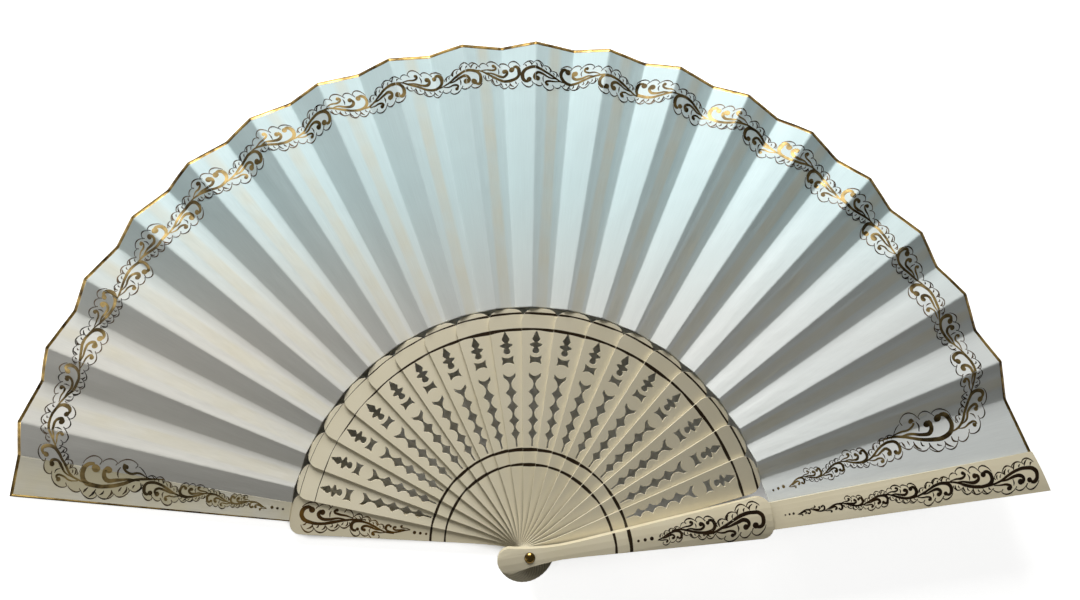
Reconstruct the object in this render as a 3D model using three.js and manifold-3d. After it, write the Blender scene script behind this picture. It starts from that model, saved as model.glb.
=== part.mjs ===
// A folding hand fan, open and lying on its back.
// Millimetres. The rivet stands on the Z axis, +Y runs up the middle of the open leaf,
// and z = 0 is the outer face of the rear guard. The front guard is on top, at the right.
//
// Twenty ribs turn on one rivet: a rear guard, pierced sticks, a front guard. Each lies one
// pitch above the one to its left. The leaf is a pleated cloth: a panel is glued to every rib,
// leaning about that rib, and a free fold joins it to the next panel.

import * as THREE from "three";
import { mergeVertices } from "three/addons/utils/BufferGeometryUtils.js";
import Module from "manifold-3d";

// Fan, with angles in degrees
const INNER_STICKS = 18;
const REAR_AXIS = 170.75; // direction of the rear guard, counted from +X
const STEP_ANGLE = 8.5; // from each rib to the next
const FRONT_STEP_ANGLE = 10.5; // the last fold opens wider, up to the front guard
const BUTT_REACH = 13; // butt end, measured back from the rivet
const BUTT_RADIUS = 5;
const GORGE_TOP = 100; // top of the shoulders, from the rivet

// Rivet
const RIVET_RADIUS = 1.5;
const RIVET_PLAY = 0.15;
const DOME_RADIUS = 2.1;
const DOME_HEIGHT = 1.1;
const REAR_HEAD_RADIUS = 2.3;
const REAR_HEAD_THICK = 0.8;
const HEAD_PLAY = 0.1; // round and under both heads
const DOME_SEAT_DEPTH = 0.25; // flat cut into the crowned front guard

// Sticks
const STICK_THICK = 1.0;
const STICK_GAP = 0.15; // running gap between neighbours
const STICK_HALF_WIDTH = 7.9; // at the shoulder
const SHOULDER_RADIUS = 5.5;
const NECK_HALF_WIDTH = 2.75;
const NECK_AT = 11; // narrowest place, from the rivet
const HIP_HALF_WIDTH = 3.6; // beside the rivet
const PIERCING_TURN = 0.85; // degrees that the pierced pattern sits left of the stick's axis
const PIERCING_INSET = 9.3; // from the shoulder's top down to the arrow's tip
const PIERCING_HALF_WIDTH = 2.55;

// Ribs, the thin upper part of each stick that carries the leaf
const RIB_THICK = 0.5;
const RIB_HALF_WIDTH = 2.5;
const RIB_NECK_THICK = 0.4;
const RIB_NECK_HALF_WIDTH = 1.2;
const RIB_SHORT = 2.5; // rib ends this far inside the leaf's edge

// Leaf
const LEAF_OUTER = 215;
const LEAF_THICK = 0.2;
const LEAF_TILT = 20; // degrees that a glued panel leans about its stick
const GLUED_SHARE = 0.54; // share of one step taken by the glued panel
const GLUE_GAP = 0.08;
const FOLD_GAP = 0.15; // a panel stops this far short of its fold line
const LEAF_CLEAR = 0.2; // between the folded leaf and the end panels
const LEAF_ABOVE_SHOULDER = 0.5;
const HIDDEN_EDGE_SHARE = 0.8; // the leaf's front end stops short behind its guard

// Guards
const GUARD_HALF_WIDTH = 8.5; // at the shoulder
const GUARD_SHOULDER_RADIUS = 4.5;
const FRONT_TIP = 220;
const FRONT_TIP_SLANT = 5; // the tip's left corner is this much shorter
const REAR_TIP = 214; // hidden behind the leaf
const GUARD_TIP_THICK = 1.0;
const FRONT_BLADE_ROOT = 5.3; // half widths of the upper blades
const FRONT_BLADE_TIP = 8.6;
const REAR_BLADE_ROOT = 3.6;
const REAR_BLADE_TIP = 8.3;
const REAR_BLADE_SETBACK = 0.2; // outer face of the blade, above that of the gorge part
const BLADE_OVERLAP = 7; // length of blade buried in the gorge part
const FRONT_BLADE_THICK = 1.5; // beside the shoulder
const BLADE_STEP = 0.7; // front blade lies this far below the crown
const CROWN_RADIUS = 26;
const BLADE_CROWN_RADIUS = 60;

// Sizes that follow from those above
const rad = THREE.MathUtils.degToRad;
const LAST_RIB = Math.round(INNER_STICKS) + 1;
const STEP = rad(STEP_ANGLE);
const FRONT_STEP = rad(FRONT_STEP_ANGLE);
const PITCH = STICK_THICK + STICK_GAP;
const HOLE_RADIUS = RIVET_RADIUS + RIVET_PLAY;
const LEAF_INNER = GORGE_TOP + LEAF_ABOVE_SHOULDER;
const TILT = rad(LEAF_TILT);
const GLUED_HALF = (STEP * GLUED_SHARE) / 2;
const RIB_MIDDLE = STICK_THICK / 2;
const LEAF_MIDDLE = RIB_MIDDLE + (RIB_THICK / 2 + GLUE_GAP + LEAF_THICK / 2) / Math.cos(TILT);
const LEAF_HALF_DEPTH = LEAF_THICK / 2 / Math.cos(TILT);

// Height that a glued panel's edge gains at a given distance from the rivet.
const rise = (r) => r * Math.sin(GLUED_HALF) * Math.tan(TILT);

// The rear guard is thick enough for the leaning panels to fold down on its tapered blade.
const END_PANEL = LEAF_THICK + GLUE_GAP;
const REAR_TIP_DROP = rise(LEAF_OUTER) + LEAF_HALF_DEPTH - LEAF_MIDDLE;
const REAR_THICK = GUARD_TIP_THICK + END_PANEL + LEAF_CLEAR + REAR_TIP_DROP - STICK_GAP;
const FIRST_STICK_Z = REAR_THICK + STICK_GAP;
const FRONT_Z = FIRST_STICK_Z + (LAST_RIB - 1) * PITCH;
const rearInner = (r) => GUARD_TIP_THICK + rise(LEAF_OUTER) - rise(r);

// The front guard's blade clears the raised edges of the last panel in the same way.
const FRONT_RECESS = LEAF_MIDDLE + LEAF_HALF_DEPTH - PITCH + LEAF_CLEAR + END_PANEL;
const frontInner = (r) => FRONT_RECESS + rise(r);
const FRONT_BLADE_TOP = frontInner(LEAF_INNER) + FRONT_BLADE_THICK;
const FRONT_THICK = FRONT_BLADE_TOP + BLADE_STEP;

const IVORY = { color: 0xd6ccb0, roughness: 0.38, metalness: 0 };
const SATIN = { color: 0xd3e0de, roughness: 0.55, metalness: 0 };
const BRASS = { color: 0xb58f3f, roughness: 0.3, metalness: 1 };

const wasm = await Module();
wasm.setup();

function toSolid(geometry) {
  const bare = geometry.clone();
  bare.deleteAttribute("normal");
  bare.deleteAttribute("uv");
  const merged = mergeVertices(bare, 1e-5);
  const vertProperties = new Float32Array(merged.attributes.position.array);
  const triVerts = new Uint32Array(merged.index.array);
  return new wasm.Manifold(new wasm.Mesh({ numProp: 3, vertProperties, triVerts }));
}

// Swaps the diagonals of flat triangle pairs where that makes the thinner of the two stouter,
// so that a flat pierced face isn't left as a fan of needles.
function swapDiagonals(points, index) {
  const cross = (a, b, c) => {
    const [p, q, r] = [points[a], points[b], points[c]];
    return (q.x - p.x) * (r.y - p.y) - (q.y - p.y) * (r.x - p.x);
  };
  const height = (a, b, c) => {
    const [p, q, r] = [points[a], points[b], points[c]];
    const longest = Math.max(p.distanceTo(q), q.distanceTo(r), r.distanceTo(p));
    return Math.abs(cross(a, b, c)) / longest;
  };
  const isFlat = (...corners) => corners.every((c) => points[c].z === points[corners[0]].z);
  for (let pass = 0; pass < 60; pass += 1) {
    const owners = new Map();
    for (let t = 0; t < index.length; t += 3) {
      for (let i = 0; i < 3; i += 1) {
        const [a, b, c] = [index[t + i], index[t + ((i + 1) % 3)], index[t + ((i + 2) % 3)]];
        owners.set(`${a} ${b}`, { triangle: t, a, b, c });
      }
    }
    const changed = new Set();
    for (const { triangle, a, b, c } of owners.values()) {
      const other = owners.get(`${b} ${a}`);
      const d = other.c;
      if (changed.has(triangle) || changed.has(other.triangle) || !isFlat(a, b, c, d)) {
        continue;
      }
      const side = Math.sign(cross(a, b, c));
      const isConvex = side * cross(a, d, c) > 0 && side * cross(d, b, c) > 0;
      const before = Math.min(height(a, b, c), height(b, a, d));
      const after = Math.min(height(a, d, c), height(d, b, c));
      if (isConvex && after > before * 1.01) {
        index.set([a, d, c], triangle);
        index.set([d, b, c], other.triangle);
        changed.add(triangle).add(other.triangle);
      }
    }
    if (changed.size === 0) {
      return;
    }
  }
}

function toGeometry(solid) {
  const mesh = solid.getMesh();
  const geometry = new THREE.BufferGeometry();
  const positions = new THREE.BufferAttribute(mesh.vertProperties, 3);
  const points = [];
  for (let i = 0; i < positions.count; i += 1) {
    points.push(new THREE.Vector3().fromBufferAttribute(positions, i));
  }
  swapDiagonals(points, mesh.triVerts);
  geometry.setAttribute("position", positions);
  geometry.setIndex(new THREE.BufferAttribute(mesh.triVerts, 1));
  const faceted = geometry.toNonIndexed();
  faceted.computeVertexNormals();
  return faceted;
}

// Skins a row of sections, each a ring of points in the same order, and caps both ends.
function loft(sections) {
  const size = sections[0].length;
  const points = sections.flat();
  const index = [];
  for (let s = 0; s + 1 < sections.length; s += 1) {
    for (let i = 0; i < size; i += 1) {
      const a = s * size + i;
      const b = s * size + ((i + 1) % size);
      index.push(a, b, a + size, b, b + size, a + size);
    }
  }
  const last = (sections.length - 1) * size;
  for (let i = 1; i + 1 < size; i += 1) {
    index.push(0, i + 1, i);
    index.push(last, last + i, last + i + 1);
  }
  // Rings may run either way round, so the sign of the volume tells which way the faces point.
  let volume = 0;
  for (let i = 0; i < index.length; i += 3) {
    const [a, b, c] = [points[index[i]], points[index[i + 1]], points[index[i + 2]]];
    volume += a.dot(b.clone().cross(c));
  }
  const geometry = new THREE.BufferGeometry().setFromPoints(points);
  geometry.setIndex(volume < 0 ? index.reverse() : index);
  const faceted = geometry.toNonIndexed();
  faceted.computeVertexNormals();
  return faceted;
}

function arc(x, y, radius, from, to, steps) {
  const points = [];
  for (let i = 0; i <= steps; i += 1) {
    const angle = rad(from + ((to - from) * i) / steps);
    points.push(new THREE.Vector2(x + radius * Math.cos(angle), y + radius * Math.sin(angle)));
  }
  return points;
}

const mirrored = (points) => points.map((p) => new THREE.Vector2(p.x, -p.y)).reverse();

// Outline of a stick or guard below the leaf: round butt, waisted neck, round shoulders.
function gorgeShape(halfWidth, cornerRadius) {
  const buttAt = BUTT_RADIUS - BUTT_REACH;
  const waist = new THREE.SplineCurve([
    new THREE.Vector2(buttAt, BUTT_RADIUS),
    new THREE.Vector2(0, HIP_HALF_WIDTH),
    new THREE.Vector2(NECK_AT, NECK_HALF_WIDTH),
    new THREE.Vector2(NECK_AT * 2, NECK_HALF_WIDTH * 1.15),
  ]);
  const corner = arc(GORGE_TOP - cornerRadius, halfWidth - cornerRadius, cornerRadius, 0, 90, 5);
  const upper = [...corner, ...waist.getPoints(7).reverse()];
  const butt = arc(buttAt, 0, BUTT_RADIUS, 90, 270, 8).slice(1, -1);
  const shape = new THREE.Shape([...upper, ...butt, ...mirrored(upper)]);
  shape.holes.push(new THREE.Path(arc(0, 0, HOLE_RADIUS, 360, 30, 11)));
  return shape;
}

// Curve that dips from one point of a pierced edge to the next.
function scallop(from, to, dip, steps) {
  const points = [];
  for (let i = 1; i <= steps; i += 1) {
    const t = i / steps;
    const below = from[0] + (to[0] - from[0]) * t;
    const across = from[1] + (to[1] - from[1]) * t - 4 * dip * t * (1 - t);
    points.push([below, across]);
  }
  return points;
}

// A hole that is the same on both sides of its axis. Points are (below the arrow's tip, across).
function piercing(half, head) {
  const tip = GORGE_TOP - PIERCING_INSET;
  const place = ([below, across]) => new THREE.Vector2(tip - below, across);
  const left = half.map(place);
  const points = [...left, ...mirrored(left), ...head.map(place)];
  const kept = points.filter((p, i) => p.distanceTo(points[(i + 1) % points.length]) > 1e-4);
  const turned = kept.map((p) => p.rotateAround(new THREE.Vector2(), rad(PIERCING_TURN)));
  return new THREE.Path(turned);
}

// Three openings per stick: an arrow over a bulb, a spool, and a chain of four diamonds.
function piercings() {
  const wide = PIERCING_HALF_WIDTH;
  const arrow = [
    [0, 0],
    [3.6, wide * 0.69],
    [5.0, wide * 0.25],
    [5.7, wide],
    [6.3, wide],
    [7.2, wide * 0.29],
    [8.0, wide * 0.51],
    [8.8, wide * 0.58],
    [9.4, wide * 0.43],
    [9.7, wide * 0.14],
  ];
  const spool = [
    [10.6, wide],
    [12.4, wide * 0.85],
    [14.2, wide],
    [13.5, wide * 0.5],
    [13.3, 0],
  ];
  const spoolHead = [
    [11.2, -wide * 0.5],
    [11.4, 0],
    [11.2, wide * 0.5],
  ];
  const chain = [
    [17.9, wide],
    [19.4, wide * 0.98],
  ];
  const chainHead = [
    [18.9, -wide * 0.5],
    [19.3, 0],
    [18.9, wide * 0.5],
  ];
  const diamonds = [
    [25.9, wide * 0.93],
    [31.8, wide * 0.88],
    [37.7, wide * 0.84],
    [43.0, wide * 0.74],
  ];
  const waist = wide * 0.13;
  for (const tip of diamonds) {
    const from = chain[chain.length - 1];
    chain.push(...scallop(from, tip, (from[1] + tip[1]) / 2 - waist, 4));
  }
  chain.push([44.2, wide * 0.35], [45.4, waist], [48.6, waist]);
  return [piercing(arrow, []), piercing(spool, spoolHead), piercing(chain, chainHead)];
}

// One cross-section of a rib: a thin rectangle leaning about the stick's axis.
function ribSection(r, halfWidth, thick, middle, lean) {
  const across = new THREE.Vector3(0, Math.cos(lean), Math.sin(lean)).multiplyScalar(halfWidth);
  const up = new THREE.Vector3(0, -Math.sin(lean), Math.cos(lean)).multiplyScalar(thick / 2);
  const centre = new THREE.Vector3(r, 0, middle);
  return [
    centre.clone().add(across).add(up),
    centre.clone().sub(across).add(up),
    centre.clone().sub(across).sub(up),
    centre.clone().add(across).sub(up),
  ];
}

// A stick is a flat pierced plate with a rib that twists to the leaf's lean as it leaves it.
function stickGeometry() {
  const shape = gorgeShape(STICK_HALF_WIDTH, SHOULDER_RADIUS);
  shape.holes.push(...piercings());
  const plate = new THREE.ExtrudeGeometry(shape, { depth: STICK_THICK, bevelEnabled: false });
  const neckMiddle = STICK_THICK * 0.4;
  const rib = loft([
    ribSection(GORGE_TOP - 5, RIB_NECK_HALF_WIDTH, RIB_NECK_THICK, neckMiddle, 0),
    ribSection(GORGE_TOP - 0.3, RIB_NECK_HALF_WIDTH, RIB_NECK_THICK, neckMiddle, 0),
    ribSection(LEAF_INNER, RIB_NECK_HALF_WIDTH, RIB_NECK_THICK, neckMiddle, TILT * 0.6),
    ribSection(LEAF_INNER + 1.8, RIB_NECK_HALF_WIDTH * 1.3, RIB_NECK_THICK, RIB_MIDDLE - 0.05, TILT),
    ribSection(LEAF_INNER + 4, RIB_HALF_WIDTH, RIB_THICK, RIB_MIDDLE, TILT),
    ribSection(LEAF_OUTER - RIB_SHORT, RIB_HALF_WIDTH * 0.9, RIB_NECK_THICK, RIB_MIDDLE, TILT),
  ]);
  return toGeometry(toSolid(plate).add(toSolid(rib)));
}

// Upper part of a guard, between an inner and an outer face given as functions of the distance out.
// The outer face, in a number of flats, falls away from its middle by the crown at each side.
function bladeGeometry(rootHalf, tipHalf, tipLeft, tipRight, inner, outer, crown, flats) {
  const root = GORGE_TOP - BLADE_OVERLAP;
  const section = (left, right, half) => {
    const ring = [new THREE.Vector3(left, half, inner(left))];
    for (let i = 0; i <= flats; i += 1) {
      const r = left + ((right - left) * i) / flats;
      const y = half * (1 - (2 * i) / flats);
      ring.push(new THREE.Vector3(r, y, outer(r) - crown(y)));
    }
    ring.push(new THREE.Vector3(right, -half, inner(right)));
    return ring;
  };
  return loft([section(root, root, rootHalf), section(tipLeft, tipRight, tipHalf)]);
}

function diskGeometry(radius, fromZ, toZ) {
  const disk = new THREE.CylinderGeometry(radius, radius, toZ - fromZ, 16);
  disk.rotateX(Math.PI / 2);
  disk.translate(0, 0, (fromZ + toZ) / 2);
  return disk;
}

// The rear guard is flat on its outer face, where the rivet's rear head lies flush.
function rearGuardGeometry() {
  const shape = gorgeShape(GUARD_HALF_WIDTH, GUARD_SHOULDER_RADIUS);
  const gorge = new THREE.ExtrudeGeometry(shape, { depth: REAR_THICK, bevelEnabled: false });
  const outer = () => REAR_BLADE_SETBACK;
  const noCrown = () => 0;
  const blade = bladeGeometry(
    REAR_BLADE_ROOT, REAR_BLADE_TIP, REAR_TIP, REAR_TIP, rearInner, outer, noCrown, 1,
  );
  const pocketDepth = REAR_HEAD_THICK + HEAD_PLAY;
  const pocket = diskGeometry(REAR_HEAD_RADIUS + HEAD_PLAY, -1, pocketDepth);
  return toGeometry(toSolid(gorge).add(toSolid(blade)).subtract(toSolid(pocket)));
}

// The front guard is crowned, its gorge part more than its blade, which meets it a step lower.
function frontGuardGeometry() {
  const shape = gorgeShape(GUARD_HALF_WIDTH, GUARD_SHOULDER_RADIUS);
  const gorge = new THREE.ExtrudeGeometry(shape, { depth: FRONT_THICK * 1.5, bevelEnabled: false });
  const crown = new THREE.CylinderGeometry(CROWN_RADIUS, CROWN_RADIUS, GORGE_TOP * 4, 64);
  crown.rotateZ(Math.PI / 2);
  crown.rotateX(Math.PI / 64);
  crown.translate(0, 0, FRONT_THICK - CROWN_RADIUS * Math.cos(Math.PI / 64));
  const tipTop = frontInner(LEAF_OUTER) + GUARD_TIP_THICK;
  const slope = (tipTop - FRONT_BLADE_TOP) / (LEAF_OUTER - GORGE_TOP);
  const outer = (r) => FRONT_BLADE_TOP + slope * (r - GORGE_TOP);
  const bladeCrown = (y) => BLADE_CROWN_RADIUS - Math.sqrt(BLADE_CROWN_RADIUS ** 2 - y ** 2);
  const tipLeft = FRONT_TIP - FRONT_TIP_SLANT;
  const blade = bladeGeometry(
    FRONT_BLADE_ROOT, FRONT_BLADE_TIP, tipLeft, FRONT_TIP, frontInner, outer, bladeCrown, 6,
  );
  const seat = diskGeometry(DOME_RADIUS + HEAD_PLAY, FRONT_THICK - DOME_SEAT_DEPTH, FRONT_THICK + 1);
  const crowned = toSolid(gorge).intersect(toSolid(crown));
  return toGeometry(crowned.add(toSolid(blade)).subtract(toSolid(seat)));
}

function rivetGeometry() {
  const domeFoot = FRONT_Z + FRONT_THICK - DOME_SEAT_DEPTH + HEAD_PLAY;
  const profile = [
    new THREE.Vector2(0, 0),
    new THREE.Vector2(REAR_HEAD_RADIUS, 0),
    new THREE.Vector2(REAR_HEAD_RADIUS, REAR_HEAD_THICK),
    new THREE.Vector2(RIVET_RADIUS, REAR_HEAD_THICK),
    new THREE.Vector2(RIVET_RADIUS, domeFoot),
  ];
  for (const point of arc(0, 0, 1, 0, 90, 4)) {
    profile.push(new THREE.Vector2(DOME_RADIUS * point.x, domeFoot + DOME_HEIGHT * point.y));
  }
  profile[profile.length - 1].x = 0;
  const rivet = new THREE.LatheGeometry(profile, 20);
  rivet.rotateX(Math.PI / 2);
  return rivet;
}

// Fold lines as functions of the distance from the rivet, in the frame of the rib they belong to.
function edgeOf(side, height, share = 1) {
  const turn = side * GLUED_HALF * share;
  return (r) => {
    const y = r * Math.sin(turn);
    return new THREE.Vector3(r * Math.cos(turn), y, height(r, y));
  };
}

// The same line seen from the rib before it, a step to the left and lower down.
function seenFromPrevious(edge, lift, step) {
  const axis = new THREE.Vector3(0, 0, 1);
  return (r) => {
    const point = edge(r).applyAxisAngle(axis, -step);
    point.z += lift;
    return point;
  };
}

// A strip of leaf between two fold lines, as thick as the cloth and a little short of both lines.
function leafGeometry(leftEdge, rightEdge) {
  const section = (r) => {
    const left = leftEdge(r);
    const right = rightEdge(r);
    const across = right.clone().sub(left).normalize();
    const along = leftEdge(r + 1).sub(leftEdge(r));
    const up = across.clone().cross(along).normalize().multiplyScalar(LEAF_THICK / 2);
    left.addScaledVector(across, FOLD_GAP);
    right.addScaledVector(across, -FOLD_GAP);
    return [
      left.clone().add(up),
      right.clone().add(up),
      right.clone().sub(up),
      left.clone().sub(up),
    ];
  };
  return loft([section(LEAF_INNER), section(LEAF_OUTER)]);
}

const onStick = (r, y) => LEAF_MIDDLE + y * Math.tan(TILT);
const onRearGuard = (r) => rearInner(r) + GLUE_GAP + LEAF_THICK / 2;
const onFrontGuard = (r) => frontInner(r) - GLUE_GAP - LEAF_THICK / 2;
const LEFT = 1;
const RIGHT = -1;

const stick = stickGeometry();
const stickPanel = leafGeometry(edgeOf(LEFT, onStick), edgeOf(RIGHT, onStick));
const rearPanel = leafGeometry(edgeOf(LEFT, onRearGuard), edgeOf(RIGHT, onRearGuard));
const frontPanel = leafGeometry(
  edgeOf(LEFT, onFrontGuard), edgeOf(RIGHT, onFrontGuard, HIDDEN_EDGE_SHARE),
);
const fold = leafGeometry(
  edgeOf(RIGHT, onStick), seenFromPrevious(edgeOf(LEFT, onStick), PITCH, STEP),
);
const firstFold = leafGeometry(
  edgeOf(RIGHT, onRearGuard), seenFromPrevious(edgeOf(LEFT, onStick), FIRST_STICK_Z, STEP),
);
const lastFold = leafGeometry(
  edgeOf(RIGHT, onStick), seenFromPrevious(edgeOf(LEFT, onFrontGuard), PITCH, FRONT_STEP),
);

const fan = new THREE.Group();

function addPiece(parent, name, geometry, look) {
  const mesh = new THREE.Mesh(geometry, new THREE.MeshStandardMaterial(look));
  mesh.name = name;
  parent.add(mesh);
}

// Rib 0 is the rear guard and the last rib is the front guard. Angles fall from left to right.
const number = (k) => String(k).padStart(2, "0");
for (let k = 0; k <= LAST_RIB; k += 1) {
  const isFront = k === LAST_RIB;
  const rib = new THREE.Group();
  rib.rotation.z = rad(REAR_AXIS) - k * STEP - (isFront ? FRONT_STEP - STEP : 0);
  rib.position.z = k === 0 ? 0 : FIRST_STICK_Z + (k - 1) * PITCH;
  fan.add(rib);
  if (k === 0) {
    addPiece(rib, "guard_rear", rearGuardGeometry(), IVORY);
    addPiece(rib, "leaf_panel_00", rearPanel, SATIN);
    addPiece(rib, "leaf_fold_01", firstFold, SATIN);
  } else if (isFront) {
    addPiece(rib, "guard_front", frontGuardGeometry(), IVORY);
    addPiece(rib, `leaf_panel_${number(k)}`, frontPanel, SATIN);
  } else {
    addPiece(rib, `stick_${number(k)}`, stick, IVORY);
    addPiece(rib, `leaf_panel_${number(k)}`, stickPanel, SATIN);
    addPiece(rib, `leaf_fold_${number(k + 1)}`, k + 1 === LAST_RIB ? lastFold : fold, SATIN);
  }
}
addPiece(fan, "rivet", rivetGeometry(), BRASS);

export default fan;
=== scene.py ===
# %% [markdown]
# # A painted flamenco fan
# The fan is open and lies on its back. Its frame comes from the CAD model: eighteen pierced sticks and two
# guards on one rivet, with the leaf as plain strips. This lesson dresses that frame: it gives the plastic
# and the brass their finishes, makes the pleated satin leaf as soft cloth, paints its border and lights it.

# %% Open the CAD frame
import math
import random

import bmesh
import bpy
import numpy as np
from mathutils import Matrix, Vector, noise
from mathutils.bvhtree import BVHTree


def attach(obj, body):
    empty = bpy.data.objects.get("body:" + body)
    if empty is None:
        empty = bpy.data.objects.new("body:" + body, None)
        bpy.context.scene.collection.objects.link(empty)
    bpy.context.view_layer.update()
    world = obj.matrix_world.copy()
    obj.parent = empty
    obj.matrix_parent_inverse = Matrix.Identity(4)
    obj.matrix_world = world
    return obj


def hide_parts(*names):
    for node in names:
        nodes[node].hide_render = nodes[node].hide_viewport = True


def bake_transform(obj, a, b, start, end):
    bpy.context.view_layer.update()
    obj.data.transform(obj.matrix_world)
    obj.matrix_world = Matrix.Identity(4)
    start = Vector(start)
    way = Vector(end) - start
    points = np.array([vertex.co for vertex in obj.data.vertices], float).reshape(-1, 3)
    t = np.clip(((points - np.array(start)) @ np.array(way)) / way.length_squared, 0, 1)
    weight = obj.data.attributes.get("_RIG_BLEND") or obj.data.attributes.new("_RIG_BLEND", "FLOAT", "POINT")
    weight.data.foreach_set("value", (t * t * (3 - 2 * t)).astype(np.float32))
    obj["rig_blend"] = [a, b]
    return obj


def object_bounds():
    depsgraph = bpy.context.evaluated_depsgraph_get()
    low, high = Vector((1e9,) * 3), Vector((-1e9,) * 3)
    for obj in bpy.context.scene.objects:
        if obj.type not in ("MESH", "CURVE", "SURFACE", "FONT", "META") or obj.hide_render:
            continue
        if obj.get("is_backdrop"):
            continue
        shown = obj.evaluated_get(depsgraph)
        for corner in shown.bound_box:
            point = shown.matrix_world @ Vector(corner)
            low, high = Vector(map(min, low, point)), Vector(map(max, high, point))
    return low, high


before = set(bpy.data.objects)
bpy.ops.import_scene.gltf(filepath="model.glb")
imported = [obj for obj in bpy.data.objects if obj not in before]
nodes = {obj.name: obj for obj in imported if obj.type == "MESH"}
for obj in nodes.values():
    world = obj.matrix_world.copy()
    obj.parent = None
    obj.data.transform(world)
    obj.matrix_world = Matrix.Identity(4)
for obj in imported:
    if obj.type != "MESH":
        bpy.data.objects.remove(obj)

MM = 0.001
cad_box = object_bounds()
RIBS = ["rear_rib"] + [f"rib_{k:02d}" for k in range(1, 19)] + ["front_rib"]
print("frame of", len(nodes), "pieces on", len(RIBS), "ribs")

# %% [markdown]
# Colours are written as they look on a screen, in sRGB hex, and shaders want linear light, so one function
# turns them. Another adds a node: its settings are properties, and its inputs are values or links.

# %% Colours and nodes
def linear(hex_colour):
    parts = [int(hex_colour[i : i + 2], 16) / 255 for i in (1, 3, 5)]
    curve = [p / 12.92 if p <= 0.04045 else ((p + 0.055) / 1.055) ** 2.4 for p in parts]
    return (*curve, 1.0)


def add(tree, kind, inputs, **settings):
    node = tree.nodes.new(kind)
    for name, value in settings.items():
        setattr(node, name, value)
    for name, value in inputs.items():
        if isinstance(value, bpy.types.NodeSocket):
            tree.links.new(value, node.inputs[name])
        else:
            node.inputs[name].default_value = value
    return node


def new_finish(name, **values):
    material = bpy.data.materials.new(name)
    material.use_nodes = True
    shader = material.node_tree.nodes["Principled BSDF"]
    for socket, value in values.items():
        shader.inputs[socket.replace("_", " ")].default_value = value
    return material, material.node_tree, shader


print("screen grey #808080 is", round(linear("#808080")[0], 3), "in linear light")

# %% [markdown]
# The sticks are moulded ivory-coloured plastic. Such plastic is slightly cloudy in the mass, has a soft
# polish and takes hand-painted lines well: dark arcs run across all the sticks at four distances from the
# rivet. The lines are a mask on that distance, with a slow wobble as a brush leaves it. On a real fan the
# sticks also lie a little rolled, each on the next, and the guard's blade lies on the pleats, so the shader
# leans their surface by about ten degrees, which makes sticks on one side catch more light. That lean is in
# the shading alone.

# %% Ivory plastic with painted arcs
ARC_PAINT, STEP_SHADE = linear("#2A1C08"), linear("#4E3F22")
CLOUD_SIZE, BRUSH_SIZE, GRAIN_SIZE = 22 * MM, 11 * MM, 1.6 * MM
# Painted shade in the steps between the sticks: full at the first distance from the rivet, gone at the
# second.
STEP_SHADE_NEAR, STEP_SHADE_FAR = 13 * MM, 38 * MM
GORGE_END, BLADE_START = 98 * MM, 106 * MM


def painted_arcs(tree, spot, radius, arcs):
    """A mask of thin arcs round the rivet. The brush wobbles, swells and presses less at the left."""
    brush = add(tree, "ShaderNodeTexNoise", {"Vector": spot, "Scale": 1 / BRUSH_SIZE, "Detail": 1.0})
    wobble = add(
        tree, "ShaderNodeMath", {0: brush.outputs[0], 1: 0.7 * MM, 2: -0.35 * MM}, operation="MULTIPLY_ADD"
    )
    where = add(tree, "ShaderNodeSeparateXYZ", {0: spot})
    left, middle = -80 * MM, -20 * MM
    press = add(
        tree, "ShaderNodeMapRange",
        {"Value": where.outputs["X"], "From Min": left, "From Max": middle, "To Min": 0.3, "To Max": 1.0},
    )
    painted = 0.0
    for distance, width in arcs:
        off = add(tree, "ShaderNodeMath", {0: radius, 1: distance * MM}, operation="SUBTRACT")
        shaken = add(tree, "ShaderNodeMath", {0: off.outputs[0], 1: wobble.outputs[0]}, operation="ADD")
        far = add(tree, "ShaderNodeMath", {0: shaken.outputs[0]}, operation="ABSOLUTE")
        swell = {0: brush.outputs[0], 1: width * MM, 2: 0.05 * width * MM}
        half = add(tree, "ShaderNodeMath", swell, operation="MULTIPLY_ADD")
        pressed = add(tree, "ShaderNodeMath", {0: half.outputs[0], 1: press.outputs[0]}, operation="MULTIPLY")
        line = add(tree, "ShaderNodeMath", {0: far.outputs[0], 1: pressed.outputs[0]}, operation="LESS_THAN")
        both = add(tree, "ShaderNodeMath", {0: painted, 1: line.outputs[0]}, operation="MAXIMUM")
        painted = both.outputs[0]
    return painted


def rolled_surface(tree, spot, flat, lean):
    """The way the surface faces: its fine grain, and a lean towards the next rib, clockwise."""
    grain = add(tree, "ShaderNodeTexNoise", {"Vector": spot, "Scale": 1 / GRAIN_SIZE, "Detail": 2.0})
    skin = add(
        tree, "ShaderNodeBump", {"Height": grain.outputs[0], "Strength": 0.12, "Distance": 0.03 * MM}
    )
    aside = add(tree, "ShaderNodeVectorMath", {0: flat, 1: (0, 0, 1)}, operation="CROSS_PRODUCT")
    clockwise = add(tree, "ShaderNodeVectorMath", {0: aside.outputs[0]}, operation="NORMALIZE")
    roll = add(tree, "ShaderNodeVectorMath", {0: clockwise.outputs[0], "Scale": lean}, operation="SCALE")
    rolled = add(
        tree, "ShaderNodeVectorTransform", {0: roll.outputs[0]},
        vector_type="VECTOR", convert_from="OBJECT", convert_to="WORLD",
    )
    tilted = add(tree, "ShaderNodeVectorMath", {0: skin.outputs[0], 1: rolled.outputs[0]}, operation="ADD")
    return add(tree, "ShaderNodeVectorMath", {0: tilted.outputs[0]}, operation="NORMALIZE").outputs[0]


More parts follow.
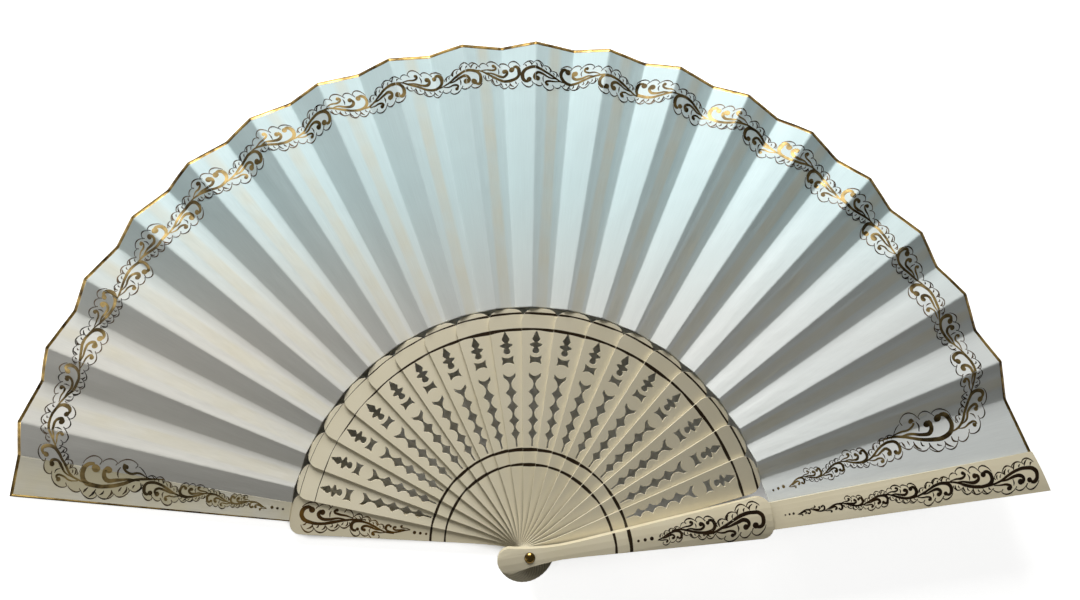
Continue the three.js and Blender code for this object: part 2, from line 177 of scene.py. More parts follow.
def ivory_plastic(name, arcs, light, dark, lean_gorge, lean_blade):
    material, tree, shader = new_finish(name, Roughness=0.36, IOR=1.5)
    place = add(tree, "ShaderNodeTexCoord", {})
    spot = place.outputs["Object"]
    flat = add(tree, "ShaderNodeVectorMath", {0: spot, 1: (1, 1, 0)}, operation="MULTIPLY").outputs[0]
    radius = add(tree, "ShaderNodeVectorMath", {0: flat}, operation="LENGTH").outputs["Value"]
    cloud = add(tree, "ShaderNodeTexNoise", {"Vector": spot, "Scale": 1 / CLOUD_SIZE, "Detail": 3.0})
    mass = add(
        tree, "ShaderNodeMix", {0: cloud.outputs[0], 6: linear(light), 7: linear(dark)}, data_type="RGBA"
    )
    # Painted shade: near the rivet the colour darkens where an occlusion test
    # finds the narrow steps between the sticks.
    step_occlusion = add(tree, "ShaderNodeAmbientOcclusion", {"Distance": 1.4 * MM}, samples=6)
    deep = add(
        tree, "ShaderNodeMapRange",
        {"Value": step_occlusion.outputs["AO"], "From Min": 0.4, "From Max": 0.95, "To Min": 0.75, "To Max": 0.0},
    )
    near = add(
        tree, "ShaderNodeMapRange",
        {"Value": radius, "From Min": STEP_SHADE_NEAR, "From Max": STEP_SHADE_FAR, "To Min": 1.0, "To Max": 0.0},
    )
    painted_step_shade = add(tree, "ShaderNodeMath", {0: deep.outputs[0], 1: near.outputs[0]}, operation="MULTIPLY")
    shaded_mass = add(tree, "ShaderNodeMix", {0: painted_step_shade.outputs[0], 6: mass.outputs[2], 7: STEP_SHADE}, data_type="RGBA")
    # The paint lies on the front face alone, where the surface looks up.
    facing = add(tree, "ShaderNodeSeparateXYZ", {0: place.outputs["Normal"]}).outputs["Z"]
    front = add(tree, "ShaderNodeMath", {0: facing, 1: 0.6}, operation="GREATER_THAN")
    lines = painted_arcs(tree, spot, radius, arcs)
    mask = add(tree, "ShaderNodeMath", {0: lines, 1: front.outputs[0]}, operation="MULTIPLY")
    colour = add(
        tree, "ShaderNodeMix", {0: mask.outputs[0], 6: shaded_mass.outputs[2], 7: ARC_PAINT}, data_type="RGBA"
    )
    tree.links.new(colour.outputs[2], shader.inputs["Base Color"])
    reach = {"Value": radius, "From Min": GORGE_END, "From Max": BLADE_START}
    lean = add(tree, "ShaderNodeMapRange", {**reach, "To Min": lean_gorge, "To Max": lean_blade})
    amount = add(tree, "ShaderNodeMath", {0: lean.outputs[0], 1: facing}, operation="MULTIPLY")
    normal = rolled_surface(tree, spot, flat, amount.outputs[0])
    tree.links.new(normal, shader.inputs["Normal"])
    return material


# Distance from the rivet and width of the brush, in millimetres
STICK_ARCS = [(98.0, 0.7), (91.1, 1.05), (41.0, 1.05), (34.8, 0.95)]
stick_plastic = ivory_plastic("ivory_plastic_sticks", STICK_ARCS, "#EFE6CD", "#E3D9BA", 0.17, 0.0)
guard_plastic = ivory_plastic("ivory_plastic_guards", STICK_ARCS[2:], "#F0E6CA", "#E4D8B6", -0.04, -0.2)
print("ivory plastic:", len(STICK_ARCS), "arcs on the sticks,", len(STICK_ARCS[2:]), "on the guards")

# %% [markdown]
# The rivet is turned brass with a polished dome. A metal keeps its own index, and fine turning marks make
# its gloss a little uneven.

# %% Brass
TURNING_MARKS = 0.8 * MM
brass, tree, shader = new_finish("polished_brass", Metallic=1.0)
spot = add(tree, "ShaderNodeTexCoord", {}).outputs["Object"]
marks = add(tree, "ShaderNodeTexNoise", {"Vector": spot, "Scale": 1 / TURNING_MARKS, "Detail": 4.0})
tone = add(
    tree, "ShaderNodeMix", {0: marks.outputs[0], 6: linear("#BF9C58"), 7: linear("#7A5E30")}, data_type="RGBA"
)
gloss = add(tree, "ShaderNodeMapRange", {"Value": marks.outputs[0], "To Min": 0.16, "To Max": 0.38})
tree.links.new(tone.outputs[2], shader.inputs["Base Color"])
tree.links.new(gloss.outputs[0], shader.inputs["Roughness"])
print("finish", brass.name, "with", len(tree.nodes), "nodes")

# %% [markdown]
# A moulded edge is never dead sharp, and the thin bright line along each stick is light on its rounded
# edge. The CAD mesh is loose triangles, so it is welded before a bevel can find its edges. The rivet's
# rounding is small, so that its head keeps its size and its neck stays clear of the front guard's hole.

# %% Finishes on the rigid pieces
EDGE_ROUNDING = {"guard": 0.6 * MM, "stick": 0.36 * MM, "rivet": 0.1 * MM}
SHARP_EDGE = math.radians(35)
WELD_REACH = 0.002 * MM
for name, node in nodes.items():
    if name.startswith("leaf"):
        continue
    finish = brass if name == "rivet" else guard_plastic if name.startswith("guard") else stick_plastic
    node.data.materials.clear()
    node.data.materials.append(finish)
    weld = node.modifiers.new("weld", "WELD")
    weld.merge_threshold = WELD_REACH
    bevel = node.modifiers.new("rounded_edges", "BEVEL")
    bevel.width = EDGE_ROUNDING[name.split("_")[0]]
    bevel.segments = 2
    bevel.limit_method = "ANGLE"
    bevel.angle_limit = SHARP_EDGE
print("dressed", sum(not n.startswith("leaf") for n in nodes), "rigid pieces")

# %% [markdown]
# The leaf is one satin cloth, creased into panels glued to the ribs and free folds between them. Every
# crease is a straight line, and the CAD strips stop a hair short of it on both sides, so the middle between
# two strips' corners gives the crease back. Crease 0 and the last one are the leaf's two free ends.

# %% Read the creases
STRIPS = 39
LAST = STRIPS - 1
strips = [f"leaf_fold_{i // 2 + 1:02d}" if i % 2 else f"leaf_panel_{i // 2:02d}" for i in range(STRIPS)]


def strip_corners(name):
    points = np.unique(np.round([v.co for v in nodes[name].data.vertices], 7), axis=0)
    reach = np.hypot(points[:, 0], points[:, 1])
    turn = np.arctan2(points[:, 1], points[:, 0])
    corners = []
    for end in (reach < reach.mean(), reach > reach.mean()):
        order = np.argsort(-turn[end])
        corners.append([points[end][order[:2]].mean(0), points[end][order[2:]].mean(0)])
    return np.array(corners)


found = [strip_corners(name) for name in strips]
middle = [(a[:, 1] + b[:, 0]) / 2 for a, b in zip(found, found[1:])]
creases = np.array([found[0][:, 0], *middle, found[-1][:, 1]])
crease_turn = np.arctan2(creases[:, 1, 1], creases[:, 1, 0])
INNER = np.hypot(*creases[5, 0, :2])
OUTER = np.hypot(*creases[5, 1, :2])
print("leaf from", round(INNER / MM, 1), "to", round(OUTER / MM, 1), "mm, creases", len(creases))

# %% [markdown]
# Between two creases the cloth is nearly flat. What makes it cloth is small: each crease is a soft bend and
# not a knife edge, the free folds belly a little, and over a rib the glued cloth stands up by the glue's
# height. One function gives the surface for a share across the strip and a share along it, and the painted
# border uses it too, so paint and cloth can't drift apart.

# %% The surface of the leaf
CREASE_DROP = 0.06 * MM
CREASE_DROP_RIM = 0.12 * MM
LEAST_FALL = 0.05
RIB_HALF = 2.5 * MM
RIB_FADE = 1.2 * MM
RIB_STAND = 0.10 * MM
BELLY = 0.35 * MM


def leaf_point(strip, across, along, lift=0.0):
    left = creases[strip, 0] + along[:, None] * (creases[strip, 1] - creases[strip, 0])
    right = creases[strip + 1, 0] + along[:, None] * (creases[strip + 1, 1] - creases[strip + 1, 0])
    point = left + across[:, None] * (right - left)
    width = np.linalg.norm((right - left)[:, :2], axis=1)
    fall = (left - right)[:, 2] / width
    drop = CREASE_DROP + (CREASE_DROP_RIM - CREASE_DROP) * np.clip(along, 0, 1)
    for share, crease, sign in ((across, strip, 1), (1 - across, strip + 1, -1)):
        if 2 <= crease < LAST:
            bend = 2 * drop / np.maximum(np.abs(fall), LEAST_FALL)
            near = np.clip(1 - share * width / bend, 0, 1)
            point[:, 2] -= np.sign(fall) * sign * drop * near**2
    if strip % 2:
        sway = np.array([noise.noise((strip * 3.7, a * 2.6, 0.5)) for a in along])
        point[:, 2] += BELLY * np.sin(math.pi * across) ** 2 * (0.3 + sway)
    elif 0 < strip < LAST:
        beside = np.clip((np.abs(across - 0.5) * width - RIB_HALF) / RIB_FADE, 0, 1)
        point[:, 2] -= RIB_STAND * beside * beside * (3 - 2 * beside) * np.sin(math.pi * across)
    out = creases[strip, 1] - creases[strip, 0]
    normal = np.cross(out, right - left)
    normal *= (np.sign(normal[:, 2]) / np.linalg.norm(normal, axis=1))[:, None]
    return point + normal * np.reshape(lift, (-1, 1))


rim_middle = leaf_point(STRIPS // 2, np.array([0.5]), np.array([1.0]))[0]
print("the middle strip meets the rim at", np.round(rim_middle / MM, 1), "mm")

# %% [markdown]
# Satin is woven so that long threads lie on top, which gives it a soft sheen. This cloth is pale, and its
# colour shifts with place: aqua towards the top of the fan and warm white low down at both ends. The ribs
# shine through as cream bands.
# Threads of a tenth of a millimetre can't show here, so the streaks are drawn five times as coarse.

# %% Satin cloth
THREAD_WIDTH, THREAD_LENGTH = 0.5 * MM, 16 * MM
RIPPLE_WIDTH, RIPPLE_LENGTH = 8 * MM, 14 * MM
BLOTCH_SIZE = 14 * MM


# The colour shifts with place: aqua towards the top of the fan, warm white low down at both ends.
def cloth_tint_by_place(tree, spot):
    where = add(tree, "ShaderNodeSeparateXYZ", {0: spot})
    high = add(
        tree, "ShaderNodeMapRange", {"Value": where.outputs["Y"], "From Min": 80 * MM, "From Max": 160 * MM},
        interpolation_type="SMOOTHSTEP",
    )
    width = {"From Min": -120 * MM, "From Max": 120 * MM}
    side = add(tree, "ShaderNodeMapRange", {"Value": where.outputs["X"], **width})
    low_ends = {0: side.outputs[0], 6: linear("#DEDCD3"), 7: linear("#D9DDDA")}
    ends = add(tree, "ShaderNodeMix", low_ends, data_type="RGBA")
    aqua = {0: high.outputs[0], 6: ends.outputs[2], 7: linear("#CEE3E4")}
    return add(tree, "ShaderNodeMix", aqua, data_type="RGBA").outputs[2]


satin, tree, shader = new_finish(
    "woven_satin", Roughness=0.5, IOR=1.46, Sheen_Weight=0.15, Sheen_Roughness=0.4
)
spot = add(tree, "ShaderNodeTexCoord", {}).outputs["Object"]
ground = cloth_tint_by_place(tree, spot)
rib = add(tree, "ShaderNodeAttribute", {}, attribute_name="over_rib")
blotch = add(tree, "ShaderNodeTexNoise", {"Vector": spot, "Scale": 1 / BLOTCH_SIZE, "Detail": 2.0})
shine = {0: rib.outputs["Fac"], 1: blotch.outputs[0]}
show = add(tree, "ShaderNodeMath", shine, operation="MULTIPLY", use_clamp=True)
over = add(tree, "ShaderNodeMix", {0: show.outputs[0], 6: ground, 7: linear("#DAD2B6")}, data_type="RGBA")
threads = add(tree, "ShaderNodeUVMap", {}, uv_map="threads").outputs[0]
drawn = add(
    tree, "ShaderNodeMapping", {"Vector": threads, "Scale": (1 / THREAD_WIDTH, 1 / THREAD_LENGTH, 1)}
)
streak = add(tree, "ShaderNodeTexNoise", {"Vector": drawn.outputs[0], "Scale": 1.0, "Detail": 3.0})
shade = add(tree, "ShaderNodeMapRange", {"Value": streak.outputs[0], "To Min": 0.93, "To Max": 1.06})
dyed = {0: 1.0, 6: over.outputs[2], 7: shade.outputs[0]}
woven = add(tree, "ShaderNodeMix", dyed, data_type="RGBA", blend_type="MULTIPLY")
tree.links.new(woven.outputs[2], shader.inputs["Base Color"])
relief = add(tree, "ShaderNodeBump", {"Height": streak.outputs[0], "Strength": 0.12, "Distance": 0.04 * MM})
loose = add(
    tree, "ShaderNodeMapping", {"Vector": threads, "Scale": (1 / RIPPLE_WIDTH, 1 / RIPPLE_LENGTH, 1)}
)
ripple = add(tree, "ShaderNodeTexNoise", {"Vector": loose.outputs[0], "Scale": 1.0, "Detail": 2.0})
soft = add(
    tree, "ShaderNodeBump",
    {"Height": ripple.outputs[0], "Strength": 0.3, "Distance": 0.8 * MM, "Normal": relief.outputs[0]},
)
tree.links.new(soft.outputs[0], shader.inputs["Normal"])
print("finish", satin.name, "with", len(tree.nodes), "nodes")

# %% [markdown]
# A gilt line binds the leaf's edge. It is gold leaf over size: bright metal, rubbed through to brown in
# places.

# %% Gilt edge
RUB_SIZE = 7 * MM
gilt, tree, shader = new_finish("gilt_edge", Metallic=0.85)
spot = add(tree, "ShaderNodeTexCoord", {}).outputs["Object"]
rub = add(tree, "ShaderNodeTexNoise", {"Vector": spot, "Scale": 1 / RUB_SIZE, "Detail": 4.0})
worn = add(tree, "ShaderNodeMapRange", {"Value": rub.outputs[0], "From Min": 0.35, "From Max": 0.65})
tone = add(
    tree, "ShaderNodeMix", {0: worn.outputs[0], 6: linear("#4A3512"), 7: linear("#D8B468")}, data_type="RGBA"
)
gloss = add(tree, "ShaderNodeMapRange", {"Value": rub.outputs[0], "To Min": 0.45, "To Max": 0.25})
tree.links.new(tone.outputs[2], shader.inputs["Base Color"])
tree.links.new(gloss.outputs[0], shader.inputs["Roughness"])
print("finish", gilt.name, "with", len(tree.nodes), "nodes")

# %% [markdown]
# Each strip starts as a grid from Blender and is laid on that surface. Columns crowd towards the creases,
# where the bend is, and the outermost row is the gilt edge. Strips on a rib ride with it. A free fold joins
# two ribs, so it bends between them: a point's share across the fold is its share of the turn, which is
# written over the smooth one that blend gives, and then no crease opens when the fan closes.

# %% The cloth strips
GILT_WIDTH = 1.3 * MM
END_GILT = 0.06  # share of the first panel that is gilt at its free end
HEM = 0.4 * MM
CLOTH_THICK = 0.2 * MM
RIB_SHOW, END_SHOW = 0.75, 1.5  # how strongly a rib and the rear guard shine through
RIB_BLUR = 0.8 * MM
COLUMNS, ROWS = 22, 36
LENGTH = OUTER - INNER


def ride_strip(piece, strip, across):
    if strip % 2 == 0:
        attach(piece, RIBS[strip // 2])
        return
    middle = creases[strip : strip + 2].mean(1)
    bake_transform(piece, RIBS[strip // 2], RIBS[strip // 2 + 1], start=middle[0], end=middle[1])
    piece.data.attributes["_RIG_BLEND"].data.foreach_set("value", across.astype(np.float32))


def new_piece(name, bm, *finishes):
    mesh = bpy.data.meshes.new(name)
    bm.to_mesh(mesh)
    bm.free()
    for finish in finishes:
        mesh.materials.append(finish)
    piece = bpy.data.objects.new(name, mesh)
    bpy.context.scene.collection.objects.link(piece)
    return piece


def cloth_strip(strip):
    bm = bmesh.new()
    bmesh.ops.create_grid(bm, x_segments=COLUMNS, y_segments=ROWS, size=0.5)
    bm.verts.ensure_lookup_table()
    grid = np.array([v.co for v in bm.verts])
    across = 0.5 - 0.5 * np.cos(math.pi * (grid[:, 0] + 0.5))
    step = np.round((grid[:, 1] + 0.5) * ROWS)
    woven_length = LENGTH - GILT_WIDTH - HEM
    along = np.clip((step - 1) / (ROWS - 2), 0, 1) * woven_length / LENGTH + HEM / LENGTH
    along[step == 0] = 0
    along[step == ROWS] = 1
    if strip == 0:
        column = np.round((grid[:, 0] + 0.5) * COLUMNS)
        across = np.where(column == 0, 0, END_GILT + (1 - END_GILT) * (column - 1) / (COLUMNS - 1))
    points = leaf_point(strip, across, along)
    for vert, point in zip(bm.verts, points):
        vert.co = point
    threads = bm.loops.layers.uv.new("threads")
    over_rib = bm.verts.layers.float.new("over_rib")
    width = np.linalg.norm(creases[strip + 1, 1] - creases[strip, 1])
    for vert in bm.verts:
        share, out = across[vert.index], along[vert.index]
        wide = width * (INNER + out * LENGTH) / OUTER
        if strip == 0:
            vert[over_rib] = END_SHOW
        elif strip % 2 == 0 and strip < LAST:
            edge = (abs(share - 0.5) * wide - RIB_HALF) / RIB_BLUR
            vert[over_rib] = RIB_SHOW * min(max(0.5 - edge, 0), 1)
    for face in bm.faces:
        face.smooth = True
        for loop in face.loops:
            i = loop.vert.index
            loop[threads].uv = ((across[i] + strip) * width, along[i] * LENGTH)
        ends = [loop.vert.index for loop in face.loops]
        at_edge = min(along[ends]) > 1 - 1.5 * GILT_WIDTH / LENGTH
        at_end = strip == 0 and max(across[ends]) < END_GILT + 0.01
        face.material_index = int(at_edge or at_end)
    bmesh.ops.recalc_face_normals(bm, faces=bm.faces)
    if sum(face.normal.z for face in bm.faces) < 0:
        bmesh.ops.reverse_faces(bm, faces=bm.faces)
    piece = new_piece(strips[strip].replace("leaf", "satin"), bm, satin, gilt)
    thick = piece.modifiers.new("cloth_thickness", "SOLIDIFY")
    thick.thickness = CLOTH_THICK
    thick.offset = 0
    ride_strip(piece, strip, across)
    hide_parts(strips[strip])
    return piece


cloth = [cloth_strip(strip) for strip in range(STRIPS)]
print("cloth strips:", len(cloth), "of", len(cloth[0].data.polygons), "faces")

# %% [markdown]
# The border is a running scroll, drawn with a brush in gold ink: an S-shaped stem that ends in a hook with a
# ball, two more hooks in its hollow, short ticks on its back like the veins of an acanthus leaf, and a thin
# lobed line round it all. One wave is drawn here in millimetres, along and across the border, with the
# brush's width as the third number. Waves alternate sides.

# %% One wave of the scroll
WAVE = 17.0
STEM = [
    (-5.5, -2.1, 0.3), (-2.0, -1.8, 0.6), (1.5, -0.8, 0.8), (4.6, 0.5, 0.95), (8.2, 1.7, 1.05),
    (11.6, 2.0, 1.15), (14.5, 0.9, 1.3), (15.1, -1.4, 1.4), (13.9, -3.1, 1.2), (12.5, -3.1, 1.0),
]
HOOKS = [
    STEM,
    [
        (0.5, -1.2, 0.3), (3.4, -1.1, 0.65), (6.4, -0.2, 0.95),
        (8.8, -0.1, 1.15), (9.9, -1.5, 1.15), (9.1, -2.8, 0.9),
    ],
    [(-1.5, -2.0, 0.3), (1.0, -2.5, 0.55), (3.5, -2.5, 0.75), (4.9, -3.4, 0.8), (4.4, -4.4, 0.6)],
]
BALLS = [(12.1, -2.4, 1.2), (8.7, -2.3, 1.1), (4.1, -4.0, 0.8)]
TICKS = [
    [(0.2, -0.4, 0.2), (0.0, 0.5, 0.55), (0.5, 1.4, 0.2)],
    [(1.5, 0.0, 0.2), (1.5, 0.6, 0.4), (1.9, 1.1, 0.15)],
    [(3.2, 0.7, 0.2), (3.2, 1.7, 0.6), (4.0, 2.8, 0.2)],
    [(4.9, 1.3, 0.2), (4.9, 1.9, 0.45), (5.5, 2.5, 0.15)],
    [(6.9, 1.9, 0.2), (7.0, 3.0, 0.6), (7.9, 4.1, 0.2)],
    [(9.0, 2.5, 0.2), (9.1, 3.1, 0.5), (9.7, 3.6, 0.15)],
    [(11.0, 2.6, 0.2), (11.4, 3.7, 0.6), (12.5, 4.6, 0.2)],
    [(13.2, 2.5, 0.2), (13.5, 3.2, 0.5), (14.2, 3.6, 0.15)],
    [(6.0, -1.0, 0.2), (6.3, -2.2, 0.5), (5.9, -3.4, 0.15)],
]
BACK_LOBES = [(-0.8, -0.2), (2.4, 1.2), (6.2, 2.7), (10.4, 3.6), (14.8, 3.2)]
HOLLOW_LOBES = [(1.0, -4.2), (6.4, -4.0), (10.4, -3.8), (15.6, -2.6)]
print("one wave:", len(HOOKS), "hooks with balls and", len(TICKS), "ticks")

# %% [markdown]
# A line leads the border: outwards along one end of the leaf, round a corner, and along the outer edge to
# the middle, where the two halves meet. Waves grow from dots near the sticks to a large one before the
# corner, and keep one size along the edge, so a list of distances and scales says how large a wave is
# where it starts. The smallest waves are hooks alone.

# %% The line that the border follows
BORDER_START = 103 * MM
BAND = 201.5 * MM
CORNER = 13 * MM
MEETING = math.radians(89.8)
OVERRUN = 1.2 * MM
LEAD = 20.0


def polar(radius, turn):
    return np.array([radius * math.cos(turn), radius * math.sin(turn)])


def border_line(from_turn, to_turn, sign):
    start = polar(BORDER_START, math.radians(from_turn))
    corner_foot = polar(BAND - CORNER, math.radians(to_turn))
    ahead = (corner_foot - start) / np.linalg.norm(corner_foot - start)
    aside = sign * np.array([-ahead[1], ahead[0]])
    bend = np.linspace(0, math.pi / 2, 20)[:, None]
    corner = corner_foot + aside * CORNER * (1 - np.cos(bend)) + ahead * CORNER * np.sin(bend)
    reached = math.atan2(corner[-1, 1], corner[-1, 0])
    past = OVERRUN / BAND * math.copysign(1, MEETING - reached)
    rim = [polar(BAND, turn) for turn in np.linspace(reached, MEETING + past, 260)[1:]]
    straight = start + np.linspace(0, 1, 60)[:, None] * (corner_foot - start)
    return np.vstack([straight, corner[1:], rim])


class Line:
    """A drawn line, its length, and the point a given way along it and to its outer side."""

    def __init__(self, points, outer):
        self.points = points
        self.at = np.concatenate([[0], np.cumsum(np.linalg.norm(np.diff(points, axis=0), axis=1))])
        self.length = self.at[-1]
        slope = np.gradient(points, self.at, axis=0)
        self.side = outer * np.stack([-slope[:, 1], slope[:, 0]], 1)

    def point(self, along, across):
        along = np.asarray(along, float)
        spot = [np.interp(along, self.at, self.points[:, i]) for i in (0, 1)]
        side = [np.interp(along, self.at, self.side[:, i]) for i in (0, 1)]
        return np.stack([spot[i] + side[i] * across for i in (0, 1)], -1)


def waves_along(line, growth, stretch, last_sign):
    """Start along the line, scale and side of each wave, fitted so that the last one ends with the line."""
    distances, scales = np.array(growth).T
    lead = LEAD * scales[0] * MM
    starts, at = [], 0.0
    while at < line.length - lead - 0.4 * WAVE * stretch * MM:
        scale = np.interp(at / MM, distances, scales)
        starts.append((at, scale))
        at += WAVE * stretch * scale * MM
    fit = (line.length - lead) / at
    waves = []
    for i, (start, scale) in enumerate(starts):
        side = last_sign * (-1) ** (len(starts) - 1 - i)
        waves.append((lead + start * fit, scale * fit, side))
    return waves


left_line = Line(border_line(170.3, 169.6, -1), 1)
right_line = Line(border_line(12.5, 14.6, 1), -1)
print("border lines of", round(left_line.length / MM), "and", round(right_line.length / MM), "mm")

# %% [markdown]
# A brush stroke is a Bezier curve with a radius at each point. Blender gives it a width by extruding it, and
# a quarter turn of tilt lays that width flat. The lobed line is a row of such strokes, one for each lobe,
# and each starts with a small hook inside the notch.

# %% Strokes and lobes
LOBE_SHARES = np.array([0.14, 0.03, 0.09, 0.17, 0.26, 0.35, 0.5, 0.62, 0.7, 0.83, 0.92, 0.985])
LOBE_LEAN, LOBE_ROUND = 0.85, 0.6
LOBE_HOOK = 0.9
LOBE_BRUSH = [0.26, 0.5, 0.2]  # at the start, in the middle and at the end
FULL_LOBE = 4.0  # a shorter lobe gets a thinner line


def strokes_mesh(strokes):
    curve = bpy.data.curves.new("strokes", "CURVE")
    curve.dimensions = "3D"
    curve.twist_mode = "Z_UP"
    curve.extrude = 0.5
    curve.resolution_u = 4
    for points, widths in strokes:
        spline = curve.splines.new("BEZIER")
        spline.bezier_points.add(len(points) - 1)
        for knot, point, width in zip(spline.bezier_points, points, widths):
            knot.co = (*point, 0)
            knot.radius = width
            knot.tilt = math.pi / 2
            knot.handle_left_type = knot.handle_right_type = "AUTO"
    holder = bpy.data.objects.new("strokes", curve)
    mesh = bpy.data.meshes.new_from_object(holder)
    bpy.data.objects.remove(holder)
    bpy.data.curves.remove(curve)
    return mesh


def lobed(anchors, at):
    """Height of a lobed line: one round bulge, like a leaf's rim, between each two anchors."""
    along, across, swell = np.array(anchors).T
    base = np.interp(at, along, across)
    i = np.clip(np.searchsorted(along, at, side="right") - 1, 0, len(along) - 2)
    share = np.clip((at - along[i]) / (along[i + 1] - along[i]), 0, 1)
    bulge = np.sin(math.pi * share**LOBE_LEAN) ** LOBE_ROUND
    return base + swell[i] * (along[i + 1] - along[i]) * bulge


def lobe_strokes(line, lobes, weight):
    strokes = []
    for (a, _, swell), (b, _, _) in zip(lobes, lobes[1:]):
        at = a + (b - a) * LOBE_SHARES
        across = lobed(lobes, at)
        across[0] -= LOBE_HOOK * swell * (b - a)
        brush = np.interp(at, [a, (a + b) / 2, b], LOBE_BRUSH)
        widths = brush * weight * min(1.0, (b - a) / FULL_LOBE) * MM
        strokes.append((list(line.point(at * MM, across * MM)), list(widths)))
    return strokes


print("a lobe is one stroke of", len(LOBE_SHARES), "points")

# %% [markdown]
# The waves set out along a line give the strokes, the balls and the anchors of the two lobed lines. The hand
# is never exact, so each point is off by a little, from a seeded generator.

# %% The strokes of all waves
hand = random.Random(7)
UNSTEADY = 0.16
PLAIN_SCALE = 0.47
TALL = 1.14


def wave_strokes(line, waves, stretch, weight):
    inked, thin, discs, outer, inner = [], [], [], [], []
    for start, scale, side in waves:
        def placed(u, v):
            jitter = UNSTEADY * scale
            u, v = u + hand.uniform(-jitter, jitter), v + hand.uniform(-jitter, jitter)
            return line.point(start + u * scale * stretch * MM, v * TALL * scale * side * MM)

        brush = weight * scale**0.75 * MM
        first = start == waves[0][0]
        plain = scale < PLAIN_SCALE
        for target, strokes in ((inked, HOOKS), (thin, [] if plain else TICKS)):
            for stroke in strokes:
                if first and stroke is STEM:
                    stroke = stroke[1:]
                points = [placed(u, v) for u, v, w in stroke]
                widths = [w * brush * hand.uniform(0.85, 1.1) for u, v, w in stroke]
                target.append((points, widths))
        for u, v, radius in BALLS:
            discs.append((placed(u, v), radius * scale * MM * hand.uniform(0.85, 1.1)))
        for lobes, on_back in () if plain else ((BACK_LOBES, 1), (HOLLOW_LOBES, -1)):
            target = outer if side * on_back > 0 else inner
            swell = on_back * side * np.array([hand.uniform(0.3, 0.5) for _ in lobes])
            for (u, v), bulge in zip(lobes, swell):
                target.append((start / MM + u * scale * stretch, v * TALL * scale * side, bulge))
    return inked, thin, discs, outer, inner


print("at full size the hand is off by up to", UNSTEADY, "mm")

# %% [markdown]
# All of it becomes one flat mesh: white ground between the lobed lines where the run lies on cloth, thin
# lines, ink, and discs for the balls and for three dots at the start. Each point keeps the height that it
# will have over the cloth, with ink above white.

# %% One run of the scroll
FILL, LINE, INK = 0, 1, 2
INK_LIFT, FILL_LIFT = 0.155 * MM, 0.115 * MM
DOTS = [(2.0, 1.1), (7.5, 1.35), (13.0, 1.6)]  # way along the line and radius
SAMPLES_PER_MM = 2


def fill_between(bm, lift, line, outer, inner):
    count = int(line.length / MM * SAMPLES_PER_MM)
    samples = np.linspace(max(outer[0][0], inner[0][0]), line.length / MM, count)
    high, low = lobed(outer, samples) * MM, lobed(inner, samples) * MM
    bmesh.ops.create_grid(bm, x_segments=count - 1, y_segments=6, size=0.5)
    for vert in bm.verts:
        i = int(round((vert.co.x + 0.5) * (count - 1)))
        across = low[i] + (vert.co.y + 0.5) * (high[i] - low[i])
        vert.co = (*line.point(samples[i] * MM, across), 0)
        vert[lift] = FILL_LIFT
    for face in bm.faces:
        face.material_index = FILL


def name_new_faces(bm, before, kind):
    bm.faces.ensure_lookup_table()
    for face in bm.faces[before:]:
        face.material_index = kind


def draw_border(line, growth, last_sign, stretch=1.0, weight=1.0, filled=True):
    waves = waves_along(line, growth, stretch, last_sign)
    inked, thin, discs, outer, inner = wave_strokes(line, waves, stretch, weight)
    for way, radius in DOTS:
        discs.append((line.point(way * growth[0][1] * MM, 0), radius * growth[0][1] * MM))
    thin += lobe_strokes(line, outer, weight) + lobe_strokes(line, inner, weight)

    bm = bmesh.new()
    lift = bm.verts.layers.float.new("lift")
    if filled:
        fill_between(bm, lift, line, outer, inner)
    for kind, strokes in ((LINE, thin), (INK, inked)):
        before = len(bm.faces)
        mesh = strokes_mesh(strokes)
        bm.from_mesh(mesh)
        bpy.data.meshes.remove(mesh)
        name_new_faces(bm, before, kind)
    before = len(bm.faces)
    for spot, radius in discs:
        bmesh.ops.create_circle(
            bm, cap_ends=True, segments=12, radius=radius, matrix=Matrix.Translation((*spot, 0))
        )
    name_new_faces(bm, before, INK)
    for face in bm.faces:
        if face.material_index != FILL:
            for vert in face.verts:
                vert[lift] = INK_LIFT
    return bm


print("ink lies", round((INK_LIFT - FILL_LIFT) / MM, 3), "mm above the white")

# %% [markdown]
# Gold ink on cloth is bronze powder in a brown binder: it flashes gold where light catches it and reads dark
# brown elsewhere. The thin lines hold more binder. Inside the lobed line the cloth was first sized with
# thin white, which is why it looks chalky there.

# %% Inks
INK_LOAD, WHITE_BRUSH = 9 * MM, 6 * MM


def ink(name, metal, bright, deep, roughness):
    material, tree, shader = new_finish(name, Metallic=metal)
    spot = add(tree, "ShaderNodeTexCoord", {}).outputs["Object"]
    load = add(tree, "ShaderNodeTexNoise", {"Vector": spot, "Scale": 1 / INK_LOAD, "Detail": 3.0})
    sharp = add(tree, "ShaderNodeMapRange", {"Value": load.outputs[0], "From Min": 0.42, "From Max": 0.62})
    tone = add(
        tree, "ShaderNodeMix", {0: sharp.outputs[0], 6: linear(deep), 7: linear(bright)}, data_type="RGBA"
    )
    dull_to_glossy = {"To Min": roughness + 0.1, "To Max": roughness - 0.1}
    gloss = add(tree, "ShaderNodeMapRange", {"Value": load.outputs[0], **dull_to_glossy})
    tree.links.new(tone.outputs[2], shader.inputs["Base Color"])
    tree.links.new(gloss.outputs[0], shader.inputs["Roughness"])
    return material


gold_ink = ink("gold_ink", 0.85, "#AB935F", "#50432A", 0.42)
line_ink = ink("brown_line_ink", 0.6, "#65523C", "#2E261C", 0.48)
guard_ink = ink("brown_guard_ink", 0.15, "#3A260C", "#241503", 0.4)
old_gold_ink = ink("old_gold_ink", 0.35, "#7C5A1E", "#4A320D", 0.4)

